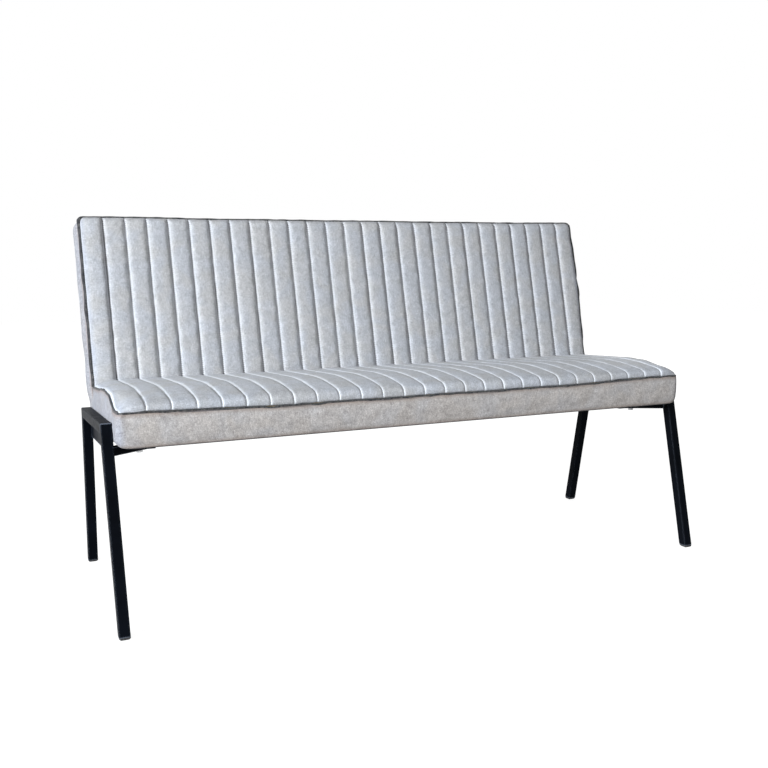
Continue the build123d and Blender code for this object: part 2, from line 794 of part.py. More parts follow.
def back_side_band(side, sign):
    """Side band of the back, full at its middle, with rounded rear edge and corners."""
    front = wadding + gap
    edge = half_panel + piping_radius
    turn = (edge - back_side_corner, back_thickness - back_side_corner)
    with BuildPart() as piece:
        with BuildSketch(back_base.offset(-2 * crown_height)):
            with BuildLine():
                ThreePointArc((sign * edge, front), (sign * full_x, back_thickness / 2),
                              (sign * edge, turn[1]))
                ThreePointArc((sign * edge, turn[1]),
                              (sign * (turn[0] + back_side_corner * cos(upright / 2)),
                               turn[1] + back_side_corner * sin(upright / 2)),
                              (sign * turn[0], back_thickness))
                Polyline((sign * turn[0], back_thickness), (sign * (frame_x + gap), back_thickness),
                         (sign * (frame_x + gap), front), (sign * edge, front))
            make_face()
        extrude(amount=2 * crown_height + band_top)
        split(bisect_by=seat_base, keep=Keep.TOP)
        with BuildSketch(side_plane(back_base)) as outline:
            with Locations((0, band_top)):
                Rectangle(back_thickness, 2 * back_rise, align=(Align.MIN, Align.MAX))
            fillet(outline.vertices().group_by(Axis.Y)[-1].sort_by(Axis.X)[-1], radius=shoulder)
        extrude(amount=sign * bench_length, mode=Mode.INTERSECT)
        with BuildSketch(face_plane(back_base)) as corners:
            with Locations((0, band_top)):
                Rectangle(2 * full_x, 2 * back_rise, align=(Align.CENTER, Align.MAX))
            fillet(corners.vertices().group_by(Axis.Y)[-1], radius=back_corner)
        extrude(amount=-2 * back_thickness, mode=Mode.INTERSECT)
        with BuildSketch(face_plane(seat_base)) as underside:
            Rectangle(2 * full_x, 2 * back_rise, align=(Align.CENTER, Align.MIN))
            fillet(underside.vertices().group_by(Axis.Y)[0], radius=lower_corner)
        extrude(amount=-2 * seat_depth, mode=Mode.INTERSECT)
    save(piece, f"back_{side}_band")


def back_rear_panel():
    """Padded rear of the back, hollowed over the screw heads."""
    pocket = screw_head_across / 2 / cos(upright / 3) + gap
    with BuildPart() as piece:
        with BuildSketch(face_plane(back_base, post_rear + gap)):
            with Locations((0, band_top - shoulder - gap)):
                Rectangle(2 * frame_x, 2 * back_rise, align=(Align.CENTER, Align.MAX))
        extrude(amount=post_rear + gap - back_thickness)
        split(bisect_by=seat_base, keep=Keep.TOP)
        with BuildSketch(face_plane(back_base, post_rear)):
            with Locations(screw_spots):
                Rectangle(2 * pocket, 2 * pocket)
        extrude(amount=-screw_head_height - gap, mode=Mode.SUBTRACT)
    save(piece, "back_rear_panel")


for side, sign in (("left", -1), ("right", 1)):
    for end in leg_inward:
        leg(side, sign, end)
        foot_cap(side, sign, end)
        arm(side, sign, end)
    top_rail(side, sign)
    side_web(side, sign)
    cross_bar(side, sign)
    seat_side_band(side, sign)
    back_side_band(side, sign)
    back_lower_rail(side, sign)
carrier_bolts()
tee_nuts()
seat_front_rail()
seat_rear_rail()
seat_cross_rail("left", -frame_x, -end_rail_x)
seat_cross_rail("centre", -post_timber / 2, post_timber / 2)
seat_cross_rail("right", end_rail_x, frame_x)
seat_webbing()
dust_cover()
seat_foam()
seat_top_cover()
seat_front_band()
seat_piping()
for side in post_spots:
    back_post(side)
post_screws()
back_top_rail()
back_board()
back_foam()
back_front_cover()
back_piping()
back_top_band()
back_rear_panel()
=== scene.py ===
"""Looks of the upholstered dining bench: quilted chenille seat and back on a black steel frame.

Metres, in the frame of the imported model: X along the bench, Y from front to back, Z up.
"""

import json

import bpy
import numpy as np
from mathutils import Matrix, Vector


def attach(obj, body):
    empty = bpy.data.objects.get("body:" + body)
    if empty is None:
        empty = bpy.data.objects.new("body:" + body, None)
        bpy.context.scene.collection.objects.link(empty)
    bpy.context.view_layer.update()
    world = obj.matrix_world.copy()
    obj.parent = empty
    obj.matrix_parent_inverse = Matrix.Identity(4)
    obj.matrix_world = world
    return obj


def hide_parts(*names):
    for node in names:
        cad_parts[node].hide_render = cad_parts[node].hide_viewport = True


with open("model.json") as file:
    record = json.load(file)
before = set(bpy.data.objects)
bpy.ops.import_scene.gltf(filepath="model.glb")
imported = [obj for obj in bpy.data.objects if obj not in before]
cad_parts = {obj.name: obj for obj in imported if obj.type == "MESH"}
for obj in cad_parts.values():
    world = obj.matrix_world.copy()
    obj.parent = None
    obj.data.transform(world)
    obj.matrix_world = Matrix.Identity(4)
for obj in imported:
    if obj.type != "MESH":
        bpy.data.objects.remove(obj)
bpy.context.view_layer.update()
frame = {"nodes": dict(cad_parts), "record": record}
nodes = frame["nodes"]

mm = 0.001
quarter = np.pi / 2
circle = 2 * np.pi
seed = 7

# Angles and main sizes of the bench
seat_slope = np.radians(3.6)
recline = np.radians(15.3)
seat_front = -285.08 * mm
seat_base_height = 410 * mm
seat_depth = 428 * mm
crown_height = 122 * mm
back_rise = 434 * mm
back_thickness = 94 * mm
half_panel = 765 * mm
frame_x = 745 * mm
channel_count = 27
wadding = 10 * mm
foam_bottom = 47.3 * mm
post_rear = 80.3 * mm  # rear of the back's posts, behind its seams
gap = 0.3 * mm

# Seat cover, along its profile at the seams
roll_start = 76.8 * mm
front_roll_radius = 24 * mm
front_roll_turn = np.radians(76)
profile_steps = 4000
front_tuck = 0.8 * mm
front_tuck_reach = 45 * mm
front_lift_reach = 30 * mm
rear_room = 3.4 * mm  # between the puffs and the back
rear_reach = 50 * mm
rear_tuck = 7 * mm
rear_tuck_reach = 16 * mm
end_fall = 3.2  # how late the end channels fall to the side piping
side_lift = 1.4 * mm  # of their edges above its height
padding = 9 * mm  # below the seams
floor_share = 0.9995  # of the cover's width, under its end channels

# Piping, and its height above the seat's underside along the front and the sides
piping_radius = 2.5 * mm
cord_radius = 2.9 * mm  # of the cord round the back, fuller than its core
seat_cord_radius = 2.4 * mm
piping_outset = 2.8 * mm
piping_inset = 0.5 * mm  # of the seat's cord behind its front edge
piping_corner = 14 * mm
corner_inset = 2 * mm  # of the covers' corners within the piping's
piping_sides = 10
shortest_step = 0.2 * mm  # between points of the seat's cord
front_piping = 72.5 * mm
end_piping = 79.5 * mm
end_piping_span = (380 * mm, 740 * mm)
front_wave = 0.5 * mm
front_wave_turns = 23  # radians in a metre
corner_lift = 1.5 * mm
corner_lift_reach = 60 * mm
high_piping = 111 * mm
climb_span = (52 * mm, 138 * mm)
piping_crest = 3.5 * mm
crest_span = (145 * mm, 200 * mm)
piping_fall = 7.5 * mm
fall_span = (235 * mm, 345 * mm)
side_start = 10 * mm  # behind the front, where the side piping's line begins
piping_rear = 9 * mm  # from the cord's ends to the back's seams
piping_drop = 14 * mm
top_join_span = (300 * mm, 420 * mm)
side_growth = 0.28  # of the back's cord up its sides
side_growth_reach = 2 * mm
bunch_growth = 0.7  # of the back's cord where it bunches at its corners
bunch_inset = 4 * mm
bunch_reach = 8 * mm

# Puffed channels
back_bulge = 6.2 * mm
seat_bulge = 3.4 * mm
back_flank = 10 * mm
seat_flank = 5 * mm
flank_share = 0.92  # of the puff's height, risen within its flanks
fullness_shares = (0.86, 1.1)  # from the emptiest channel to the fullest
end_fullness = 1.4  # of the end channels' puff
channel_shift = (0.31, 3.7)  # of the waves, from one channel to the next
puff_start = (-4 * mm, 8 * mm)
rear_press_share = 0.7
rear_press_reach = 10 * mm
top_press_share = 0.85
top_press_reach = 9 * mm
level_reach = (40 * mm, 150 * mm)  # from the seat's front piping, where the roll turns level
level_sink_share = 0.4  # of the puffs' height, pressed flat on the level seat
level_highlight_share = 0.5  # by which the painted highlight beside the seams spreads there
seat_highlight_shift = 2.6 * mm  # added to the seat's distance from a seam, so its painted highlight starts at the seam with no painted crease shade
puff_column_shares = (0, 0.03, 0.08, 0.14, 0.22, 0.35, 0.5, 0.65, 0.78, 0.86, 0.92, 0.97)
row_step = 7 * mm
puff_cap = 0.8 * mm
pressure = 4.0
settling_frames = 20

# Seat bands
full_outset = 9.5 * mm
lower_corner = 21 * mm
hem = 6 * mm
front_swell = 4 * mm
swell_power = 0.8  # how evenly the bands' fullness spreads
corner_growth = 9 * mm  # of the front corners' radius, from the piping down to the hem
right_slack = 4.5 * mm  # of the band on the right, seen in the photo
slack_span = (700 * mm, 760 * mm)
drawn_in = 0.5 * mm  # of the sides' upper edge within the piping's middle
drawn_in_shares = (0.45, 1.05)
drawn_in_power = 1.3
drawn_in_height = 95 * mm  # the least over which the sides are drawn in
band_lap = 2 * mm  # of the piping over the bands' upper edge
inner_inset = 0.2 * mm  # of the bands' inner side within the wadding
level_shares = (0, 0.008, 0.02, 0.04, 0.07, 0.11, 0.16, 0.22, 0.28)
upper_level_share = 0.34
upper_level_count = 12
smooth_edge_shares = (0.1, 0.8)  # of the height, between which the band is wavy
corner_columns = 9
seat_columns = (60, 150)  # up each side, and along the front

# Puckers of the seat bands along the hem and under the front corners
pucker_depth = 0.45 * mm
pucker_pitch = 21 * mm
pucker_rise = 10 * mm
pucker_fall = (12 * mm, 30 * mm)
middle_pucker_share = 0.25
end_pucker_span = (680 * mm, 750 * mm)
corner_pucker_depth = 3.6 * mm
corner_pucker_x = 750 * mm
corner_pucker_drop = 8 * mm
corner_pucker_size = (9 * mm, 6 * mm)

# Back cover
back_cover_low = -62 * mm
cord_lap_share = 0.6  # of the cord's radius, over the cover's upper edge
edge_roll = 6.5 * mm
end_roll_power = 5
top_roll_power = 3
top_roll_reach = 30 * mm
back_corner = 15 * mm
corner_drop_reach = 70 * mm
top_end_lift = 2 * mm
top_end_span = (420 * mm, 700 * mm)
top_wave = 0.4 * mm
top_wave_turns = 19  # radians in a metre
right_bow = 7 * mm  # of the back's right edge at the middle of its height
bow_span = (715 * mm, 760 * mm)
bow_middle = 230 * mm
bow_reach = 140 * mm

# Back bands, in rows from the piping to the rear
side_rows = np.array([10.3, 12, 16, 24, 35, 47, 58, 68, 76]) * mm
top_rows = np.array([10.3, 12, 16, 24, 34, 46, 59]) * mm
rear_rows = np.array([753.5, 749.5, 745.3]) * mm  # half widths where the sides lap the rear
shoulder = 35 * mm
shoulder_rows = 11
back_side_corner = 10 * mm
top_corner_rows = (0, 1, 4)
top_corner_radii = np.array([16, 17, 24]) * mm
top_swell = 3 * mm
top_swell_power = 0.7
back_fullness = 5 * mm
fullness_span = (-45 * mm, -20 * mm)
top_line_rows = (6, 14)
first_wavy_rows = (0, 3)
last_wavy_rows = (12, 15)
measured_row = 5  # the row along which the cloth is measured
band_depth = 8 * mm
back_columns = (48, 130)

# Rear panel and the black cloth below
rear_crown = 3 * mm
rear_inset = 0.5 * mm
rear_power = 6  # how late the rear panel falls to its edges
rear_grid = (45, 121)
cloth_thickness = 0.8 * mm
cloth_drop = 0.1 * mm
cloth_sag = 3.2 * mm
cloth_sag_power = 0.7
sag_span = (580 * mm, 660 * mm)  # over which the sag dies away towards the ends
cloth_grid = (25, 75)

# Unevenness: the seed of its waves, their mean length and their height
seat_puff_waves = (1, 70 * mm, 0.06)
back_puff_waves = (2, 70 * mm, 0.06)
seat_piping_waves = (5, 45 * mm, 0.9 * mm)
back_piping_waves = (6, 50 * mm, 0.7 * mm)
back_piping_sway = (7, 70 * mm, 0.7 * mm)
back_cord_waves = (8, 30 * mm, 0.08)
seat_cord_waves = (9, 30 * mm, 0.1)
seat_band_waves = (11, 90 * mm, 0.5 * mm)
pucker_waves = (12, 200 * mm, 2)
back_band_waves = (21, 100 * mm, 0.6 * mm)
rear_waves = (31, 160 * mm, 0.5 * mm)
cloth_waves = (41, 120 * mm, 0.8 * mm)
wave_count = 9
wave_length_shares = (0.6, 1.7)  # of the mean length

# Stitches
stitch_pitch = 5.5 * mm
stitch_length = 3.4 * mm
stitch_radius = 0.6 * mm
thread_sides = 6
thread_aside = np.array([0.9 * mm, 0, 0])  # the thread lies beside the seam's deepest line
first_stitch_row = 2
seat_thread_lift = 0.3 * mm
back_thread_lift = 0.4 * mm

# Places worked out from the sizes
tilt = recline - seat_slope
channel_pitch = 2 * half_panel / channel_count
inner_panel = half_panel - channel_pitch
full_x = half_panel + full_outset
side_x = half_panel + piping_outset
band_front = wadding + gap
band_top = back_rise - piping_radius
crown_radius = ((crown_height - roll_start - front_roll_radius * np.sin(front_roll_turn))
                / (1 - np.sin(front_roll_turn)))


def sloping(front, height, slope):
    """Gives points from here along the bench, backwards along this slope and up off it."""
    def point(x, back, up):
        x, back, up = np.broadcast_arrays(x, back, up)
        return np.stack([x, front + back * np.cos(slope) + up * np.sin(slope),
                         height - back * np.sin(slope) + up * np.cos(slope)], axis=-1)
    return point


seat_point = sloping(seat_front, seat_base_height, seat_slope)
back_point = sloping(*seat_point(0, seat_depth, crown_height)[1:], recline)


def smooth(value, low, high):
    """Smooth step from 0 at low to 1 at high."""
    t = np.clip((value - low) / (high - low), 0, 1)
    return t * t * (3 - 2 * t)


def arch(share):
    """Half a wave: 0 at a share of 0, 1 in the middle and 0 again at 1."""
    return np.sin(np.pi * np.clip(share, 0, 1))


def rounded(beyond, radius):
    """How far a rounded corner falls back, this far beyond the start of its turn."""
    return radius - np.sqrt(radius ** 2 - np.clip(beyond, 0, radius) ** 2)


def uneven(kind, u, v):
    """Smooth repeatable unevenness over a surface: a sum of seeded waves of one kind."""
    key, wavelength, height = kind
    rng = np.random.default_rng(seed * 100 + key)
    turn = rng.uniform(0, circle, wave_count)
    scale = circle / (wavelength * rng.uniform(*wave_length_shares, wave_count))
    phases = rng.uniform(0, circle, wave_count)
    total = 0
    for a, b, phase in zip(np.cos(turn) * scale, np.sin(turn) * scale, phases):
        total = total + np.sin(a * u + b * v + phase)
    return height * total / np.sqrt(wave_count / 2)


# Meshes made of grids and lines of points

def grid_faces(rows, columns):
    """Four-sided faces between neighbouring points of a grid."""
    index = np.arange(rows * columns).reshape(rows, columns)
    return np.stack([index[:-1, :-1], index[:-1, 1:], index[1:, 1:], index[1:, :-1]],
                    axis=-1).reshape(-1, 4)


def outward(points, faces):
    """The same faces, turned so that the closed form has a positive volume."""
    a, b, c, d = (points[faces[:, k]] for k in range(4))
    volume = np.sum(a * np.cross(b, c)) + np.sum(a * np.cross(c, d))
    return (faces if volume > 0 else faces[:, ::-1]).tolist()


def make_object(name, points, faces, cloth=None):
    """Smooth-shaded object; cloth gives each point's place on its fabric."""
    mesh = bpy.data.meshes.new(name)
    mesh.from_pydata(points.tolist(), [], faces)
    mesh.shade_smooth()
    if cloth is not None:
        layer = mesh.attributes.new("cloth", "FLOAT_VECTOR", "POINT")
        layer.data.foreach_set("vector", cloth.ravel())
    piece = bpy.data.objects.new(name, mesh)
    bpy.context.scene.collection.objects.link(piece)
    return piece


def unit(vectors):
    """The same directions, one long."""
    return vectors / np.linalg.norm(vectors, axis=-1, keepdims=True)


def facing(grid, axis, sign):
    """Unit normals of a grid, on the side that has this sign along this axis in its middle."""
    crossed = np.cross(np.gradient(grid, axis=1), np.gradient(grid, axis=0))
    out = crossed / np.maximum(np.linalg.norm(crossed, axis=-1, keepdims=True), 1e-12)
    return out * np.sign(sign * out[len(out) // 2, out.shape[1] // 2, axis])


def run_length(line):
    """Distance of each point of a line from its start, along it."""
    return np.concatenate([[0], np.cumsum(np.linalg.norm(np.diff(line, axis=0), axis=1))])


def along_line(line, length, spots):
    """Points of a line at these distances along it."""
    return np.stack([np.interp(spots, length, line[:, k]) for k in range(3)], axis=1)


def shell(name, outer, inner, across, along, seams=(), beside=1.0):
    """Closed padded piece between two grids, subdivided, sharp at its seams.

    Across and along place each point on its cloth, and beside is its distance from a seam or edge,
    over which a chenille material paints shade and highlight.
    """
    rows, columns = outer.shape[:2]
    count = rows * columns
    index = np.arange(count).reshape(rows, columns)
    rim = np.concatenate([index[0, :-1], index[:-1, -1], index[-1, :0:-1], index[:0:-1, 0]])
    ahead = np.roll(rim, -1)
    front = grid_faces(rows, columns)
    faces = np.concatenate([front, front[:, ::-1] + count,
                            np.stack([ahead, rim, rim + count, ahead + count], axis=-1)])
    points = np.concatenate([outer.reshape(-1, 3), inner.reshape(-1, 3)])
    cloth = np.stack([(value + np.zeros((rows, columns))).ravel()
                      for value in (across, along, beside)], axis=-1)
    piece = make_object(name, points, outward(points, faces), np.concatenate([cloth, cloth]))
    seam_of = np.full(2 * count, -1)
    for column in seams:
        seam_of[index[:, column]] = column
    on_rim = np.zeros(2 * count, bool)
    on_rim[rim] = True
    mesh = piece.data
    ends = np.empty(2 * len(mesh.edges), int)
    mesh.edges.foreach_get("vertices", ends)
    a, b = ends.reshape(-1, 2).T
    sharp = (seam_of[a] >= 0) & (seam_of[a] == seam_of[b])
    sharp |= (a >= count) & (b >= count)
    sharp |= on_rim[a] & on_rim[b]
    mesh.attributes.new("crease_edge", "FLOAT", "EDGE").data.foreach_set(
        "value", sharp.astype(np.float32))
    surface = piece.modifiers.new("Subdivision", "SUBSURF")
    surface.levels = 1
    surface.render_levels = 1
    return piece


def tube(name, line, radius, reference, panel_side):
    """Round cord along a line of points, closed at its ends; panel_side is the angle round it
    at which the quilted panel touches it."""
    ahead = unit(np.gradient(line, axis=0))
    side = unit(np.cross(ahead, reference))
    rise = np.cross(side, ahead)
    turn = np.linspace(0, circle, piping_sides, endpoint=False)
    rings = (line[:, None] + radius[:, None, None] * (side[:, None] * np.cos(turn)[:, None]
                                                      + rise[:, None] * np.sin(turn)[:, None]))
    count = len(line)
    index = np.arange(count * piping_sides).reshape(count, piping_sides)
    turned = np.roll(index, -1, axis=1)
    faces = np.stack([index[:-1], turned[:-1], turned[1:], index[1:]], axis=-1).reshape(-1, 4)
    points = rings.reshape(-1, 3)
    for end in (0, count - 1):
        middle = len(points)
        points = np.concatenate([points, line[end:end + 1]])
        ring = index[end]
        half = np.stack([ring[::2], np.roll(ring, -1)[::2], np.roll(ring, -2)[::2],
                         np.full(piping_sides // 2, middle)], axis=-1)
        faces = np.concatenate([faces, half[:, ::-1] if end == 0 else half])
    cloth = np.zeros((len(points), 3))
    body = count * piping_sides
    cloth[:body, 0] = np.tile(np.cos(turn - panel_side), count)
    cloth[:body, 1] = np.repeat(run_length(line), piping_sides)
    cloth[:body, 2] = np.tile(np.sin(turn - panel_side), count)
    return make_object(name, points, outward(points, faces), cloth)


def stitches(name, lines):
    """Rows of short thread stitches lying in the seams."""
    half = stitch_length / 2
    rings = [(np.cos(turn) * stitch_radius, np.sin(turn) * stitch_radius, end)
             for end in (stitch_radius - half, half - stitch_radius)
             for turn in np.linspace(0, circle, thread_sides, endpoint=False)]
    template = np.array([(0, 0, -half), *rings, (0, 0, half)])
    faces = []
    for k in range(1, thread_sides + 1):
        following = k % thread_sides + 1
        faces.append((k, following, following + thread_sides, k + thread_sides))
        faces.append((0, following, k))
        faces.append((len(template) - 1, k + thread_sides, following + thread_sides))
    points, all_faces = [], []
    for line, up in lines:
        length = run_length(line)
        spots = np.arange(stitch_pitch, length[-1], stitch_pitch)
        ahead = unit(along_line(line, length, spots + half)
                     - along_line(line, length, spots - half))
        side = unit(np.cross(ahead, along_line(up, length, spots)))
        axes = np.stack([side, np.cross(side, ahead), ahead], axis=1)
        for centre, axis in zip(along_line(line, length, spots), axes):
            start = len(points) * len(template)
            points.append(centre + template @ axis)
            all_faces += [tuple(start + k for k in face) for face in faces]
    return make_object(name, np.concatenate(points), all_faces)


def inflate(grid, pinned):
    """Let pressure fill the cloth between its pinned seams, by no more than the cap."""
    scene = bpy.context.scene
    piece = make_object("inflating", grid.reshape(-1, 3), grid_faces(*grid.shape[:2]).tolist())
    pins = piece.vertex_groups.new(name="pins")
    pins.add(np.flatnonzero(pinned).tolist(), 1.0, "REPLACE")
    settings = piece.modifiers.new("Cloth", "CLOTH").settings
    settings.quality = 5
    settings.mass = 0.3
    settings.tension_stiffness = 15
    settings.compression_stiffness = 5
    settings.bending_stiffness = 0.5
    settings.vertex_group_mass = "pins"
    settings.shrink_min = -0.006
    settings.use_pressure = True
    settings.uniform_pressure_force = pressure
    settings.effector_weights.gravity = 0
    for step in range(settling_frames):
        scene.frame_set(step + 1)
    evaluated = piece.evaluated_get(bpy.context.evaluated_depsgraph_get())
    moved = np.empty(grid.size)
    evaluated.data.vertices.foreach_get("co", moved)
    bpy.data.objects.remove(piece)
    scene.frame_set(1)
    step = moved.reshape(grid.shape) - grid
    reach = np.linalg.norm(step, axis=-1, keepdims=True)
    return grid + step * np.minimum(1, puff_cap / np.maximum(reach, 1e-9))


# Lines that several pieces share

def front_height(x):
    """Height of the piping along the seat's front edge."""
    rise = smooth(np.abs(x), *end_piping_span)
    return (front_piping + (end_piping - front_piping) * rise
            + front_wave * np.sin(x * front_wave_turns + 1))


def side_height(back):
    """Height of the piping along the seat's sides: low, a climb, a crest and a slow fall."""
    return (end_piping + corner_lift * smooth(back, 0, corner_lift_reach)
            + (high_piping - end_piping - corner_lift) * smooth(back, *climb_span)
            + piping_crest * smooth(back, *crest_span)
            - piping_fall * smooth(back, *fall_span))


def piping_height(x, back):
    """Height of the seat's piping at a place in plan."""
    return np.where(np.abs(x) > side_x - piping_corner,
                    side_height(np.maximum(back - side_start, 0)), front_height(x))


def top_line(x):
    """Height of the back's piping along its top, a little higher at its ends."""
    return (band_top + top_end_lift * smooth(np.abs(x), *top_end_span)
            + top_wave * np.sin(x * top_wave_turns))


def bowed(x, rise):
    """Places along the back, its right edge bowed outwards as in the photo."""
    return x + right_bow * smooth(x, *bow_span) * np.exp(-((rise - bow_middle) / bow_reach) ** 2)


def around(half_width, near, far, radius, sides, across):
    """Line up one side, round a corner, along the near edge and back down the other side."""
    half_width, near, far, radius = (
        size[..., None] for size in np.broadcast_arrays(half_width, near, far, radius))
    inward = radius * np.sign(far - near)
    turn = np.linspace(0, quarter, corner_columns)
    side = far + (near + inward - far) * np.linspace(0, 1, sides)[:-1]
    corner_x = half_width - radius * (1 - np.cos(turn))
    corner = near + inward * (1 - np.sin(turn))
    middle_x = (half_width - radius) * np.linspace(-1, 1, across)[1:-1]
    x = np.concatenate([-half_width + 0 * side, -corner_x, middle_x, corner_x[..., ::-1],
                        half_width + 0 * side], axis=-1)
    place = np.concatenate([side, corner, near + 0 * middle_x, corner[..., ::-1],
                            side[..., ::-1]], axis=-1)
    return x, place


# Channels

def channel_columns():
    """Places across the quilted panels: x, share of the channel, and which are seams."""
    shares = np.append(np.tile(puff_column_shares, channel_count), 0)
    channels = np.repeat(np.arange(channel_count), len(puff_column_shares))
    x = -half_panel + (np.append(channels, channel_count) + shares) * channel_pitch
    return x, shares, np.flatnonzero(shares == 0)


def end_share(x):
    """0 on the inner channels, and from 0 to 1 across the end ones."""
    return np.clip((np.abs(x) - inner_panel) / channel_pitch, 0, 1)


def from_seam(shares):
    """Distance from the nearer seam."""
    return np.minimum(shares, 1 - shares) * channel_pitch


def puff(shares, flank):
    """Height of a channel's puff across it, from seam to seam: round flanks, a low crown."""
    edge = np.clip(from_seam(shares) / flank, 0, 1)
    return (flank_share * np.sin(quarter * edge)
            + (1 - flank_share) * 4 * shares * (1 - shares))


def channel_swell(x, along, kind):
    """Unevenness of the channels' fullness, different from one to the next."""
    number = np.floor((x + half_panel) / channel_pitch + 1e-6)
    rng = np.random.default_rng(seed + kind[0])
    fullness = rng.uniform(*fullness_shares, channel_count + 1)[number.astype(int)]
    fullness = fullness * np.where(np.abs(x) > inner_panel, end_fullness, 1)
    return fullness * (1 + uneven(kind, along + number * channel_shift[0],
                                  number * channel_shift[1]))


def make_quilted(name, base, out, height, inner, along, beside, first_row, thread_lift):
    """Cover filled out between its seams, and the rows of stitches in them."""
    x, _, seams = channel_columns()
    pinned = np.zeros(height.shape, bool)
    pinned[:, seams] = True
    pinned[[0, -1]] = True
    outer = inflate(base + out * height[..., None], pinned)
    cover = shell(name + "_cover", outer, inner, x, along, seams[1:-1], beside)
    rows = slice(first_row, -2)
    lines = [(outer[rows, k] + out[rows, k] * thread_lift - thread_aside, out[rows, k])
             for k in seams[1:-1]]
    return cover, stitches(name + "_stitches", lines)


# Seat

def seam_line(distance):
    """Seat profile at the seams (back, up), this far along from the front piping."""
    beyond = np.maximum(distance - front_roll_radius * front_roll_turn, 0)
    roll = np.minimum(distance / front_roll_radius, front_roll_turn)
    climb = np.minimum(front_roll_turn + beyond / crown_radius, quarter)
    level = np.maximum(beyond - crown_radius * (quarter - front_roll_turn), 0)
    back = (front_roll_radius * (1 - np.cos(roll)) + level
            + crown_radius * (np.cos(front_roll_turn) - np.cos(climb)))
    up = (roll_start + front_roll_radius * np.sin(roll)
          + crown_radius * (np.sin(climb) - np.sin(front_roll_turn)))
    return back, up


def seam_length(depth):
    """Length of the seam line back to this depth."""
    distance = np.linspace(0, 2 * depth, profile_steps)
    return float(np.interp(depth, seam_line(distance)[0], distance))


def make_seat_cover():
    """Quilted seat: 27 channels over the front roll, the end ones falling to the side piping."""
    x, shares, _ = channel_columns()
    total = seam_length(seat_depth)
    rows = int(round(total / row_step))
    distance = np.linspace(0, total, rows + 1)[:, None]
    seam_back, seam_up = seam_line(distance)
    fall = end_share(x) ** end_fall
    side_back = distance / total * seat_depth
    back = (1 - fall) * seam_back + fall * side_back
    up = (1 - fall) * seam_up + fall * (side_height(side_back) + side_lift)
    radius = piping_corner - corner_inset
    corner = rounded(np.abs(x) - half_panel + radius, radius)
    back = back + (front_tuck + corner) * (1 - smooth(distance, 0, front_tuck_reach))
    edge_up = front_height(x) + piping_radius
    up = up + (edge_up - up[0]) * (1 - smooth(distance, 0, front_lift_reach))
    bulge = seat_bulge * puff(shares, seat_flank)
    rear = seat_depth - (crown_height - up) * np.tan(tilt) - bulge - rear_room
    back = back - (seat_depth - rear) * smooth(distance, total - rear_reach, total)
    up = up - rear_tuck * smooth(distance, total - rear_tuck_reach, total) ** 2
    base = seat_point(x, back, up)
    out = facing(base, 2, 1)
    ends = smooth(distance, *puff_start)
    ends = ends * (1 - rear_press_share * smooth(distance, total - rear_press_reach, total))
    level = smooth(distance, *level_reach)
    ends = ends * (1 - level_sink_share * level)
    inner = base - out * padding
    floor = seat_point(x * floor_share, np.clip(back, band_front, None), foam_bottom)
    over_sides = np.abs(x) > inner_panel + gap
    inner[:, over_sides] = floor[:, over_sides]
    # distance from a seam, shifted and spread on the level seat: it sets where the painted
    # highlight and painted shade fall
    beside = from_seam(shares) * (1 - level_highlight_share * level) + seat_highlight_shift
    height = bulge * channel_swell(x, distance, seat_puff_waves) * ends
    return make_quilted("seat", base, out, height, inner, distance, beside, first_stitch_row,
                        seat_thread_lift)


def make_seat_piping():
    """Cord between the quilted seat and its bands."""
    x, back = around(side_x, piping_inset, seat_depth, piping_corner, *seat_columns)
    back = np.minimum(back, seat_depth - piping_rear)
    line = seat_point(x, back, piping_height(x, back) + uneven(seat_piping_waves, x, back))
    keep = np.concatenate([[True], np.diff(run_length(line)) > shortest_step])
    radius = seat_cord_radius * (1 + uneven(seat_cord_waves, x, back))
    return tube("seat_piping_cord", line[keep], radius[keep], np.array([0, 0, 1.0]), quarter)


def side_width(up, top):
    """Half width of the seat's bands: rounded below, full, and drawn in under the piping."""
    share = smooth(up, top * drawn_in_shares[0], top * drawn_in_shares[1]) ** drawn_in_power
    return (full_x - rounded(lower_corner - up, lower_corner)
            - (full_x - side_x + drawn_in) * share)


